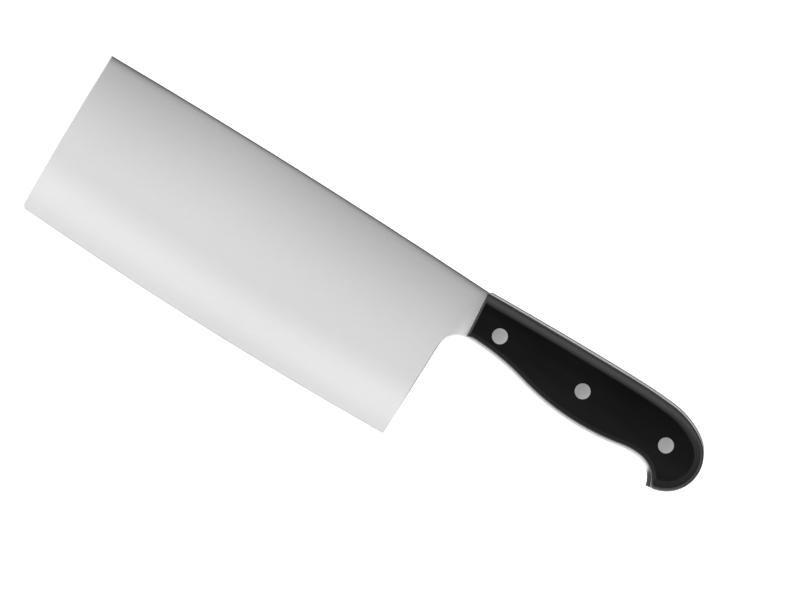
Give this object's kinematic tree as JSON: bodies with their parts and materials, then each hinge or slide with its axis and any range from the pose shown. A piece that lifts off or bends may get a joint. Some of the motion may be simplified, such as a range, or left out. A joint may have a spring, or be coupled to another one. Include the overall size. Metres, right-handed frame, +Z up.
{
  "type": "chinese cleaver",
  "caption": "Full-tang kitchen cleaver with a broad, gently curved rectangular steel blade, two black rounded handle scales with a hooked butt, and flush two-part rivets.",
  "frame": {"origin": "under the middle of the knife's box, level with the outer face of the right handle scale, which is the face that it lies on", "axes": "+X from the blade's tip to the handle's butt, +Y from the cutting edge to the spine, +Z up through the left side"},
  "size_m": [0.3115, 0.0811, 0.0173],
  "materials": {
    "blade_steel": "fine satin, ground lengthwise, polished at the cutting edge",
    "handle_plastic": "smooth black moulded plastic with a low sheen",
    "rivet_steel": "satin, ground flush with the handle"
  },
  "bodies": {
    "root": {"blade": "blade_steel", "left_scale": "handle_plastic", "right_scale": "handle_plastic", "front_rivet_post": "rivet_steel", "front_rivet_sleeve": "rivet_steel", "middle_rivet_post": "rivet_steel", "middle_rivet_sleeve": "rivet_steel", "rear_rivet_post": "rivet_steel", "rear_rivet_sleeve": "rivet_steel"}
  },
  "joints": []
}
